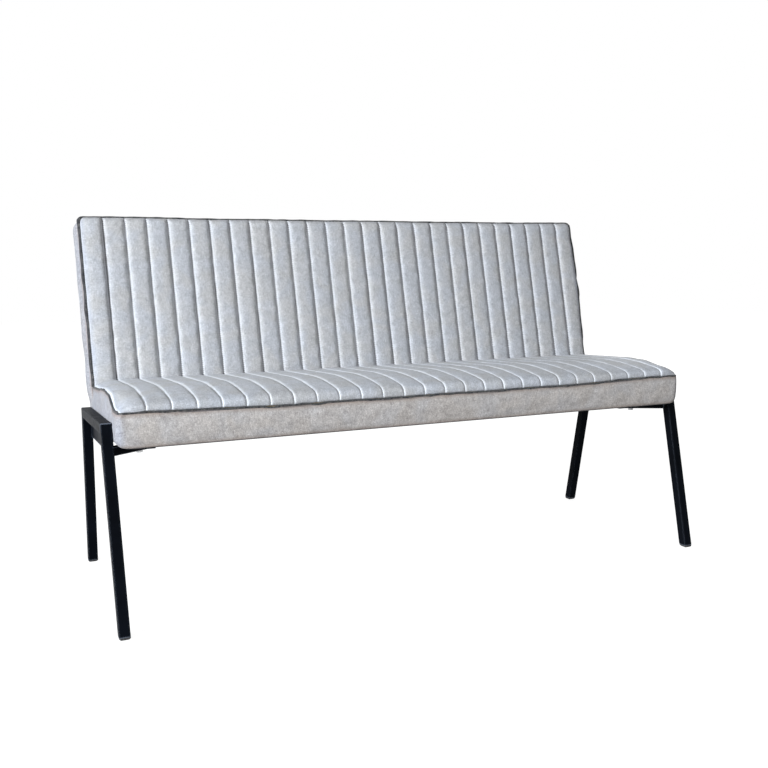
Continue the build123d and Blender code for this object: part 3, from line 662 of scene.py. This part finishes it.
def make_seat_band():
    """Band round the seat's front and sides, with a rounded hem and lower corners."""
    levels = np.concatenate([level_shares, np.linspace(upper_level_share, 1, upper_level_count)])
    plan = around(full_x, 0.0, seat_depth, piping_corner, *seat_columns)
    tops = piping_height(*plan) - band_lap
    up = levels[:, None] * tops
    radius = piping_corner + corner_growth * (1 - levels)
    x = np.empty_like(up)
    back = np.empty_like(up)
    for column, top in enumerate(tops):
        height = up[:, column]
        width = side_width(height, max(top, drawn_in_height))
        swell = front_swell * arch((height - hem) / (top - hem)) ** swell_power
        front = rounded(hem - height, hem) - swell
        rear = (seat_depth + (height - crown_height) * np.tan(tilt)
                + (wadding - gap) / np.cos(tilt))
        line = around(width, front, rear, radius, *seat_columns)
        x[:, column] = line[0][:, column]
        back[:, column] = line[1][:, column]
    x = x - right_slack * smooth(x, *slack_span) * arch(levels)[:, None]
    base = seat_point(x, back, up)
    out = facing(base, 1, -1)
    along = run_length(np.stack(plan, axis=1))
    ripple = uneven(seat_band_waves, along, up * 2)
    pucker = pucker_depth * np.sin(along * circle / pucker_pitch + uneven(pucker_waves, along, 0))
    pucker = pucker * smooth(up, 0, pucker_rise) * (1 - smooth(up, *pucker_fall))
    pucker = pucker * (middle_pucker_share
                       + (1 - middle_pucker_share) * smooth(np.abs(x), *end_pucker_span))
    beneath = np.exp(-((np.abs(x) - corner_pucker_x) / corner_pucker_size[0]) ** 2
                     - ((tops - corner_pucker_drop - up) / corner_pucker_size[1]) ** 2)
    pucker = pucker - corner_pucker_depth * beneath * (back < piping_corner)
    first, last = smooth_edge_shares
    edges = smooth(levels, 0, first) * (1 - smooth(levels, last, 1))
    outer = base + out * (ripple * edges[:, None] + pucker)[..., None]
    inner_half = np.where(up < foam_bottom, frame_x, half_panel) + gap
    inner = seat_point(np.clip(x, -inner_half, inner_half), np.maximum(back, wadding - inner_inset),
                       np.maximum(up, inner_inset))
    # beside: distance from the hem and from the piping, where the band takes its warm painted shade
    return shell("seat_band", outer, inner, along, up, beside=np.minimum(up, tops - up))


# Back

def make_back_cover():
    """Quilted front of the back, its end channels and upper ends rolling back to the piping."""
    x, shares, _ = channel_columns()
    top = top_line(x) - cord_radius * cord_lap_share
    rows = int(round((band_top - back_cover_low) / row_step))
    rise = back_cover_low + (top - back_cover_low) * np.linspace(0, 1, rows + 1)[:, None]
    roll = edge_roll * end_share(x) ** end_roll_power
    upper = smooth(rise, top - top_roll_reach, top) ** top_roll_power
    radius = back_corner - corner_inset
    drop = rounded(np.abs(x) - half_panel + radius, radius)
    lifted = rise - drop * smooth(rise, top - corner_drop_reach, top)
    base = back_point(bowed(x, lifted), roll + (edge_roll - roll) * upper, lifted)
    out = facing(base, 1, -1)
    ends = 1 - top_press_share * smooth(rise, top - top_press_reach, top)
    height = back_bulge * puff(shares, back_flank) * ends
    height = height * channel_swell(x, rise, back_puff_waves)
    inner = back_point(np.clip(x, gap - half_panel, half_panel - gap), wadding - gap, lifted)
    return make_quilted("back", base, out, height, inner, rise, from_seam(shares),
                        int(round(-back_cover_low / row_step)), back_thread_lift)


def make_back_piping():
    """Cord up both sides and across the top of the quilted back."""
    x, rise = around(side_x, band_top, -piping_drop, back_corner, *back_columns)
    rise = rise + (top_line(x) - band_top) * smooth(rise, *top_join_span)
    behind = wadding - piping_radius + uneven(back_piping_waves, x, rise)
    beside = rise < band_top - back_corner
    x = x + np.sign(x) * uneven(back_piping_sway, x, rise) * beside
    line = back_point(bowed(x, rise), behind, rise)
    forward = np.array([0, np.cos(recline), -np.sin(recline)])
    corner = np.hypot(np.abs(x) - side_x + bunch_inset, rise - band_top + bunch_inset)
    radius = cord_radius * (1 + bunch_growth * np.exp(-(corner / bunch_reach) ** 2)
                            + side_growth * (np.abs(x) > side_x - side_growth_reach)
                            + uneven(back_cord_waves, x, rise))
    return tube("back_piping_cord", line, radius, forward, 0.0)


def make_back_band():
    """Band round the back's sides and top, turning over its rear edge."""
    turn = np.linspace(0, quarter, shoulder_rows + 1)[1:]
    side_turn = turn[::2]
    side_behind = np.concatenate([side_rows,
                                  back_thickness - back_side_corner * (1 - np.sin(side_turn)),
                                  back_thickness + 0 * rear_rows])
    middle = back_thickness / 2
    swell = np.cos(quarter * np.clip((side_behind - middle) / (middle - back_side_corner), -1, 1))
    edge = half_panel + piping_radius
    width = edge + (full_x - edge) * swell ** swell_power
    width[len(side_rows):] = np.concatenate([edge - back_side_corner * (1 - np.cos(side_turn)),
                                             rear_rows])
    top_behind = np.concatenate([top_rows, back_thickness - shoulder * (1 - np.sin(turn))])
    top_rise = band_top - np.concatenate([0 * top_rows, shoulder * (1 - np.cos(turn))])
    top_share = (top_behind - band_front) / (back_thickness - band_front)
    top_rise = top_rise + top_swell * arch(top_share) ** top_swell_power
    low = (side_behind * np.sin(tilt) - crown_height) / np.cos(tilt)
    row = np.arange(len(low))[:, None]
    corner = np.interp(row[:, 0], top_corner_rows, top_corner_radii)
    x, rise = around(width, top_rise, low, corner, *back_columns)
    spot = np.arange(x.shape[1])
    above = np.clip((np.minimum(spot, spot[::-1]) - back_columns[0] + 1)
                    / (corner_columns - 1), 0, 1)
    behind = side_behind[:, None] * (1 - above) + top_behind[:, None] * above
    up = crown_height + rise * np.cos(tilt) - behind * np.sin(tilt)
    full = back_fullness * swell[:, None] * smooth(rise, *fullness_span) * (1 - above)
    x = np.sign(x) * (np.abs(x) - rounded(lower_corner - up, lower_corner) + full)
    x = bowed(x, rise)
    rise = rise + (top_line(x) - band_top) * above * (1 - smooth(row, *top_line_rows))
    base = back_point(x, behind, rise)
    edges = smooth(row, *first_wavy_rows) * (1 - smooth(row, *last_wavy_rows))
    ripple = uneven(back_band_waves, rise + x, behind)
    outer = base + facing(base, 2, 1) * (ripple * edges)[..., None]
    inner_behind = np.clip(behind, band_front, back_thickness - band_depth)
    ceiling = band_top - band_depth - rounded(inner_behind - back_thickness + shoulder,
                                              shoulder - band_depth)
    inner = back_point(np.clip(x, -frame_x - gap, frame_x + gap), inner_behind,
                       np.minimum(rise, ceiling))
    along = run_length(np.stack([x[measured_row], rise[measured_row]], axis=1))
    # beside: distance from the piping, where the band takes its warm painted shade
    return shell("back_band", outer, inner, along, behind, beside=behind - band_front)


def make_rear_cover():
    """Padded rear of the back, crowned between its edges."""
    rows, columns = rear_grid
    x = np.linspace(-frame_x, frame_x, columns)
    share = np.linspace(0, 1, rows)[:, None]
    top = band_top - shoulder - gap
    low = (back_thickness * np.sin(tilt) - crown_height) / np.cos(tilt)
    rise = low + (top - low) * share
    inside = (1 - (x / frame_x) ** rear_power) * (1 - (2 * share - 1) ** rear_power)
    crown = (rear_crown + uneven(rear_waves, x, rise)) * inside
    outer = back_point(x, back_thickness - rear_inset + crown, rise)
    inner = back_point(x, post_rear + gap, rise)
    # beside: distance from the top and bottom edges, where the rear panel takes its warm painted
    # shade
    return shell("back_rear_cover", outer, inner, x, rise,
                 beside=np.minimum(rise - low, top - rise))


# Underside

def make_dust_cloth():
    """Black cloth stapled under the seat and back, a little slack between its edges."""
    rows, columns = cloth_grid
    x = np.linspace(-frame_x, frame_x, columns)
    share = np.linspace(0, 1, rows)[:, None]
    rear_end = (post_rear * np.cos(tilt) + seat_depth
                - (crown_height - post_rear * np.sin(tilt)) * np.tan(tilt))
    depth = rear_end - band_front
    back = band_front + depth * share
    slack = arch(share) ** cloth_sag_power * (1 - smooth(np.abs(x), *sag_span))
    sag = (cloth_sag + uneven(cloth_waves, x, back * 1.5)) * slack
    inner = seat_point(x, back, -cloth_drop - sag)
    outer = seat_point(x, back, -cloth_drop - sag - cloth_thickness)
    return shell("dust_cloth", outer, inner, x, back), (2 * frame_x, float(depth))


# Materials

class Surface:
    """A material or world under construction: its shader and the nodes that feed it."""

    def __init__(self, name, kind=bpy.data.materials, shader="Principled BSDF", **sockets):
        self.made = kind.new(name)
        self.made.use_nodes = True
        self.tree = self.made.node_tree
        self.shader = self.tree.nodes[shader]
        for socket, value in sockets.items():
            self.shader.inputs[socket.replace("_", " ")].default_value = value

    def node(self, kind, inputs, **settings):
        """A new node, its inputs linked or set."""
        made = self.tree.nodes.new("ShaderNode" + kind)
        for key, value in settings.items():
            setattr(made, key, value)
        for socket, value in inputs.items():
            if isinstance(value, bpy.types.NodeSocket):
                self.tree.links.new(value, made.inputs[socket])
            else:
                made.inputs[socket].default_value = value
        return made

    def place(self, scale=(1, 1, 1), cloth=False):
        """Coordinates in metres: along the fabric, or in the object."""
        if cloth:
            source = self.node("Attribute", {}, attribute_name="cloth").outputs["Vector"]
        else:
            source = self.node("TexCoord", {}).outputs["Object"]
        return self.node("Mapping", {"Vector": source, "Scale": scale}).outputs["Vector"]

    def parts(self, vector):
        return self.node("SeparateXYZ", {0: vector}).outputs

    def noise(self, scale, place, detail, roughness, distortion=0.0):
        """Cloudy values about a half."""
        return self.node("TexNoise", {"Vector": place, "Scale": scale, "Detail": detail,
                                      "Roughness": roughness,
                                      "Distortion": distortion}).outputs["Fac"]

    def bands(self, place, scale, direction, distortion, detail_scale=1.0):
        """Regular ribs from 0 to 1."""
        return self.node("TexWave", {"Vector": place, "Scale": scale, "Distortion": distortion,
                                     "Detail": 2.0, "Detail Scale": detail_scale},
                         wave_type="BANDS", bands_direction=direction).outputs["Fac"]

    def spread(self, value, low, high, to_low=0.0, to_high=1.0):
        """Stretch a value's range, clamped."""
        return self.node("MapRange", {"Value": value, "From Min": low, "From Max": high,
                                      "To Min": to_low, "To Max": to_high}).outputs["Result"]

    def maths(self, operation, a, b=0.0):
        return self.node("Math", {0: a, 1: b}, operation=operation).outputs[0]

    def times(self, a, b):
        return self.maths("MULTIPLY", a, b)

    def total(self, first, *others):
        """Sum of values, each given with its weight."""
        result = self.times(*first)
        for value, weight in others:
            result = self.maths("ADD", result, self.times(value, weight))
        return result

    def seen(self):
        """1 where the camera, a reflection or a clear body looks, 0 for the light that falls."""
        rays = self.node("LightPath", {}).outputs
        looked = self.maths("MAXIMUM", rays["Is Camera Ray"], rays["Is Glossy Ray"])
        return self.maths("MAXIMUM", looked, rays["Is Transmission Ray"])

    def mix(self, share, a, b, blend="MIX"):
        """From the first colour to the second by a share."""
        return self.node("Mix", {0: share, 6: a, 7: b}, data_type="RGBA",
                         blend_type=blend).outputs[2]

    def tinted(self, base, tint):
        return self.mix(1.0, base, tint, "MULTIPLY")

    def finish(self, base=None, relief=None, depth=0.0, strength=1.0, **sockets):
        """The material or world, with these values linked to its shader."""
        if base is not None:
            sockets["Base_Color"] = base
        if relief is not None:
            sockets["Normal"] = self.node("Bump", {"Height": relief, "Distance": depth,
                                                   "Strength": strength}).outputs["Normal"]
        for socket, value in sockets.items():
            self.tree.links.new(value, self.shader.inputs[socket.replace("_", " ")])
        return self.made


def colour(red, green, blue):
    """Linear colour from the 0 to 255 values in which it is seen."""
    share = np.array([red, green, blue]) / 255
    linear = np.where(share <= 0.04045, share / 12.92, ((share + 0.055) / 1.055) ** 2.4)
    return (*linear.tolist(), 1.0)


painted_side_shade = (0.67, 0.71, 0.79, 1)  # painted shade tint on the ends of the bench
# painted shade in the needle holes between the stitches
painted_hole_shade = (0.10, 0.10, 0.11, 1)
painted_seam_highlight = (0.82, 0.86, 0.91, 1)  # painted highlight on the folds beside the seams
painted_top_shade = (0.8, 0.8, 0.805, 1)  # painted shade where the fabric faces up
# where the painted side shade and the painted highlight beside the seams fall
side_shade_span = (752 * mm, 766 * mm)
highlight_start = (1.2 * mm, 1.9 * mm)
highlight_end = (2.8 * mm, 6.2 * mm)


def chenille(name, dark, light, cool, warm, painted_shade, painted_shade_width, wear_and_highlight, weave):
    """Mottled chenille: patches of cool and warm nap, scratchy strands, woven ribs.

    It darkens to a painted shade within a width from a seam or edge, takes a painted highlight on
    the folds beside the seams, painted shade on the bench's ends and where it faces up, and dark
    painted shade in the needle holes.
    """
    made = Surface(name, Roughness=0.88, Sheen_Weight=0.15, Sheen_Roughness=0.45,
                   Specular_IOR_Level=0.2)
    spot = made.place()
    cloth = made.place((1, 1, 0), cloth=True)
    x = made.parts(spot)[0]
    along, beside = made.parts(made.place(cloth=True))[1:]
    up = made.parts(made.node("NewGeometry", {}).outputs["Normal"])[2]
    marks = []
    for across, lengthwise, detail, distortion, low, high in (
            (190, 90, 3, 1.4, 0.34, 0.66), (330, 60, 4, 2.4, 0.4, 0.64),
            (70, 240, 4, 2.4, 0.48, 0.66)):
        place = made.place((across, lengthwise, 0), cloth=True)
        marks.append(made.spread(made.noise(1, place, detail, 0.7, distortion), low, high))
    tufts, strands, crossed = marks
    flecks = made.spread(made.noise(340, cloth, 3, 0.7), 0.36, 0.64)
    clouds = made.spread(made.noise(60, spot, 3, 0.6, 1.2), 0.34, 0.66)
    nap = made.total((tufts, 0.3), (strands, 0.34), (crossed, 0.28), (clouds, 0.22))
    patches = made.spread(made.noise(17, spot, 1, 0.4, 0.6), 0.36, 0.64)
    base = made.tinted(made.mix(nap, dark, light), made.mix(patches, warm, cool))
    # painted shade on the bench's ends, chosen by the object's x
    aside = made.spread(made.maths("ABSOLUTE", x), *side_shade_span)
    base = made.mix(aside, base, made.tinted(base, painted_side_shade))
    # painted shade on faces that point up, chosen by the normal's height
    base = made.mix(made.spread(up, 0.6, 0.97), base, made.tinted(base, painted_top_shade))
    fine = made.spread(flecks, 0, 1, 0.84, 1.12)
    base = made.tinted(base, made.node("CombineColor", {0: fine, 1: fine, 2: fine}).outputs[0])
    # painted shade in the creases at the seams, and along the bands' hems and edges
    base = made.mix(made.spread(beside, 0.2 * mm, painted_shade_width, 0.6, 0.0), base, painted_shade)
    # painted highlight on the folds beside the seams
    highlight_mask = made.times(made.spread(beside, *highlight_start),
                         made.spread(beside, *highlight_end, wear_and_highlight, 0.0))
    base = made.mix(highlight_mask, base, painted_seam_highlight)
    # dark painted shade in the needle holes, between the stitches along each seam
    stitch = made.maths("SINE", made.times(along, circle / stitch_pitch))
    reach = made.spread(stitch, -0.3, 0.7, 0.6 * mm, 2.8 * mm)
    hole_shade = made.spread(made.maths("SUBTRACT", reach, beside), -0.4 * mm, 0.5 * mm)
    base = made.mix(made.times(hole_shade, 0.8), base, painted_hole_shade)
    ribs = made.bands(cloth, weave, "Y", 2.5, 1.5)
    relief = made.total((ribs, 0.3), (flecks, 0.4), (nap, 0.5))
    return made.finish(base, relief, 0.5 * mm, 0.8)


def quilt(name, cool, warm, wear_and_highlight):
    """The quilted panels' chenille, with a painted highlight on the folds beside its seams."""
    return chenille(name, colour(146, 148, 151), colour(206, 208, 212), cool, warm,
                    colour(176, 179, 184), 1.6 * mm, wear_and_highlight, 260)


def piping_weave():
    """Taupe woven cord cover, with painted shade on its side against the quilted panel."""
    made = Surface("piping_fabric", Roughness=0.8, Sheen_Weight=0.2, Sheen_Roughness=0.4)
    toward, along, around_it = made.parts(made.place(cloth=True))
    length = made.node("CombineXYZ", {0: along,
                                      1: made.times(around_it, piping_radius)}).outputs[0]
    twill = made.bands(length, 210, "DIAGONAL", 1.5)
    mottle = made.spread(made.noise(130, length, 5, 0.7), 0.42, 0.6)
    base = made.mix(mottle, colour(31, 34, 39), colour(108, 107, 104))
    base = made.mix(made.times(twill, 0.45), base, colour(52, 52, 55))
    # painted shade on the side of the cord that lies against the quilted panel
    panel_shade = made.spread(toward, -0.1, 0.6)
    base = made.mix(made.times(panel_shade, 0.92), base, colour(30, 32, 38))
    return made.finish(base, twill, 0.35 * mm, 0.8)


def powder_coat():
    """Black powder coat: fine orange peel, dust-grey variation, uneven roughness and a painted
    highlight along its edges.
    """
    made = Surface("powder_coat", Roughness=0.42, IOR=1.35, Specular_IOR_Level=0.025)
    spot = made.place()
    peel = made.noise(900, spot, 2, 0.5)
    cloudy = made.spread(made.noise(7, spot, 4, 0.6), 0.3, 0.7)
    base = made.mix(cloudy, colour(6, 8, 12), colour(13, 17, 24))
    specks = made.spread(made.noise(1500, spot, 1, 0.5), 0.72, 0.8)
    base = made.mix(made.times(specks, 0.25), base, colour(44, 46, 54))
    rough = made.spread(made.noise(60, spot, 3, 0.6), 0.3, 0.7, 0.36, 0.46)
    # painted highlight along the rounded edges, where the Bevel normal turns away from the flat one
    rounding = made.node("Bevel", {"Radius": 4 * mm}, samples=6).outputs["Normal"]
    flat = made.node("NewGeometry", {}).outputs["True Normal"]
    level = made.node("VectorMath", {0: rounding, 1: flat},
                      operation="DOT_PRODUCT").outputs["Value"]
    edge = made.spread(level, 0.84, 0.96, 1, 0)
    base = made.mix(made.times(edge, 0.8), base, colour(110, 118, 132))
    return made.finish(base, peel, 0.12 * mm, 0.5, Roughness=rough)


def moulded_plastic():
    """Matte black plastic with a fine eroded grain and scuffs."""
    made = Surface("foot_plastic", Roughness=0.6)
    grain = made.noise(1800, made.place(), 2, 0.6)
    scuff = made.spread(made.noise(220, made.place((1, 1, 0.2)), 4, 0.7), 0.6, 0.8)
    base = made.mix(made.times(scuff, 0.4), colour(20, 20, 22), colour(58, 58, 60))
    return made.finish(base, grain, 0.08 * mm, 0.6)


def zinc():
    """Zinc plated steel with faint spangle."""
    made = Surface("zinc_steel", Metallic=1.0, Roughness=0.35)
    spot = made.place()
    spangle = made.spread(made.noise(400, spot, 3, 0.6), 0.3, 0.7)
    base = made.mix(spangle, colour(150, 152, 155), colour(198, 199, 200))
    rough = made.spread(made.noise(160, spot, 2, 0.5), 0.3, 0.7, 0.28, 0.48)
    return made.finish(base, Roughness=rough)


def non_woven():
    """Black spun-bonded cloth with its pattern of small bonded points."""
    made = Surface("dust_cloth", Roughness=0.9)
    cloth = made.place(cloth=True)
    points = made.node("TexVoronoi", {"Vector": cloth, "Scale": 420,
                                      "Randomness": 0.15}).outputs["Distance"]
    fibres = made.noise(1, made.place((900, 140, 1), cloth=True), 4, 0.7, 2.0)
    base = made.mix(made.spread(fibres, 0.3, 0.7), colour(14, 14, 15), colour(34, 34, 36))
    relief = made.maths("ADD", made.spread(points, 0.0, 0.5), made.times(fibres, 0.4))
    return made.finish(base, relief, 0.2 * mm, 0.6)


def elastic_webbing():
    """Woven elastic webbing with lengthwise ribs and paler threads rubbed by wear."""
    made = Surface("webbing", Roughness=0.85)
    spot = made.place()
    ribs = made.bands(spot, 180, "X", 0.4)
    wear_and_highlight = made.noise(130, spot, 3, 0.6)
    base = made.mix(ribs, colour(58, 50, 42), colour(96, 84, 70))
    base = made.mix(made.times(wear_and_highlight, 0.3), base, colour(120, 106, 90))
    return made.finish(base, ribs, 0.3 * mm, 0.8)


def cut_foam():
    """Open-cell foam with fine pores and yellowing."""
    made = Surface("foam", Roughness=0.95)
    spot = made.place()
    pores = made.node("TexVoronoi", {"Vector": spot, "Scale": 900}).outputs["Distance"]
    yellow = made.spread(made.noise(12, spot, 3, 0.5), 0.3, 0.7)
    base = made.mix(yellow, colour(232, 222, 190), colour(222, 204, 160))
    return made.finish(base, pores, 0.4 * mm, 0.8)


def sawn_wood(name, pale, dark):
    """Planed softwood or board, with grain along the bench."""
    made = Surface(name, Roughness=0.65)
    grain = made.noise(1, made.place((6, 120, 120)), 6, 0.65, 1.5)
    fine = made.noise(1, made.place((40, 900, 900)), 3, 0.6)
    share = made.maths("ADD", made.spread(grain, 0.3, 0.7), made.times(fine, 0.25))
    base = made.mix(share, pale, dark)
    return made.finish(base, fine, 0.15 * mm, 0.5)


def thread():
    """Light grey sewing thread."""
    made = Surface("stitch_thread", Roughness=0.6, Sheen_Weight=0.2)
    strands = made.noise(2200, made.place(), 2, 0.6)
    base = made.mix(made.spread(strands, 0.3, 0.7), colour(196, 197, 200), colour(232, 234, 238))
    return made.finish(base, strands, 0.1 * mm, 0.6)


def make_materials():
    """One finished material for each slot, the back's quilt and the stitches' thread."""
    return {
        # the seat's copy of the back's chenille has brighter, bluer tints and a stronger painted
        # highlight: painted light matched to the lit seat
        "seat_fabric": quilt("seat_fabric", (1.05, 1.085, 1.14, 1), (0.965, 0.965, 0.96, 1), 0.66),
        "back_fabric": quilt("back_fabric", (0.975, 0.99, 1.02, 1), (0.99, 0.975, 0.955, 1), 0.26),
        # the bands' chenille: a warm painted shade 11 mm wide along hems, piping and edges, and no
        # painted highlight
        "band_fabric": chenille("band_fabric", colour(136, 132, 131), colour(220, 218, 217),
                                (0.96, 0.965, 0.98, 1), (0.98, 0.955, 0.93, 1),
                                colour(132, 112, 98), 11 * mm, 0.0, 300),
        "piping_fabric": piping_weave(),
        "powder_coat": powder_coat(),
        "foot_plastic": moulded_plastic(),
        "zinc_steel": zinc(),
        "dust_cloth": non_woven(),
        "webbing": elastic_webbing(),
        "foam": cut_foam(),
        "timber": sawn_wood("timber", colour(214, 184, 140), colour(176, 138, 92)),
        "board": sawn_wood("board", colour(150, 116, 80), colour(112, 80, 52)),
        "thread": thread(),
    }


def finish_frame(materials):
    """Give every carried-over node its slot's material."""
    for entry in frame["record"]["subparts"]:
        node = nodes[entry["node"]]
        node.data.materials.clear()
        node.data.materials.append(materials[entry["material_slot"]])


def dress(piece, material, slot, *stands_for, fill=None):
    """Finish a piece, let it ride on the bench and stand for its solids."""
    piece.data.materials.append(material)
    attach(piece, "root")
    if stands_for:
        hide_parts(*stands_for)


# Studio

floor_half = 9.0
floor_glow = 0.91
white = (1, 1, 1, 1)
fill_light = 0.35


def make_camera():
    """The photograph's camera."""
    camera = bpy.data.objects.new("camera", bpy.data.cameras.new("camera"))
    camera.location = (-1.0370, -2.2690, 0.8357)
    camera.rotation_euler = (np.radians(79.1), 0, np.radians(-23.8))
    camera.data.lens = 42.68
    camera.data.shift_x = 0.0095
    camera.data.shift_y = 0.0541
    bpy.context.scene.collection.objects.link(camera)
    bpy.context.scene.camera = camera


def area_light(name, place, target, size, power, tint):
    """Large soft lamp aimed at a point."""
    lamp = bpy.data.lights.new(name, "AREA")
    lamp.color = tint
    lamp.shape = "RECTANGLE"
    lamp.size, lamp.size_y = size
    lamp.energy = power
    light = bpy.data.objects.new(name, lamp)
    light.location = place
    aim = Vector(target) - Vector(place)
    light.rotation_euler = aim.to_track_quat("-Z", "Y").to_euler()
    bpy.context.scene.collection.objects.link(light)


def make_floor():
    """Wide pale floor that reads white and keeps the bench's shadow."""
    made = Surface("floor", Base_Color=(0.24, 0.24, 0.24, 1), Roughness=0.9,
                   Specular_IOR_Level=0.0, Emission_Color=white)
    corners = np.array([(-1, -1, 0), (1, -1, 0), (1, 1, 0), (-1, 1, 0)]) * floor_half
    floor = make_object("floor", corners, [[0, 1, 2, 3]])
    floor.data.materials.append(made.finish(Emission_Strength=made.times(made.seen(), floor_glow)))


def make_world():
    """White surroundings to look at, and a plain even light from them."""
    made = Surface("studio", bpy.data.worlds, "Background", Color=white)
    level = made.spread(made.seen(), 0, 1, fill_light, 1)
    bpy.context.scene.world = made.finish(Strength=level)


def build():
    """The whole bench and its studio."""
    materials = make_materials()
    finish_frame(materials)
    seat_cover, seat_thread = make_seat_cover()
    dress(seat_cover, materials["seat_fabric"], "seat_fabric", "seat_top_cover", fill=0.8)
    dress(seat_thread, materials["thread"], "seat_fabric")
    dress(make_seat_band(), materials["band_fabric"], "band_fabric", "seat_front_band",
          "seat_left_band", "seat_right_band", fill=0.8)
    dress(make_seat_piping(), materials["piping_fabric"], "piping_fabric", "seat_piping")
    back_cover, back_thread = make_back_cover()
    dress(back_cover, materials["back_fabric"], "seat_fabric", "back_front_cover", fill=0.8)
    dress(back_thread, materials["thread"], "seat_fabric")
    dress(make_back_piping(), materials["piping_fabric"], "piping_fabric", "back_piping")
    dress(make_back_band(), materials["band_fabric"], "band_fabric", "back_left_band",
          "back_right_band", "back_top_band", fill=0.8)
    dress(make_rear_cover(), materials["band_fabric"], "band_fabric", "back_rear_panel",
          fill=0.7)
    dust, cut = make_dust_cloth()
    dress(dust, materials["dust_cloth"], "dust_cloth", "dust_cover")
    make_camera()
    make_floor()
    make_world()
    area_light("key", (-6.2, -2.8, 2.6), (0, 0.1, 0.6), (1.8, 2.0), 780, (0.93, 0.965, 1.0))
    area_light("front", (-1.4, -3.8, 1.2), (0, 0, 0.5), (2.4, 1.6), 24, (1.0, 0.97, 0.94))
    area_light("rear", (2.6, 4.8, 2.0), (0, 0.2, 0.6), (2.4, 2.0), 150, (1.0, 0.98, 0.96))
    bpy.context.scene.view_settings.view_transform = "Standard"


build()
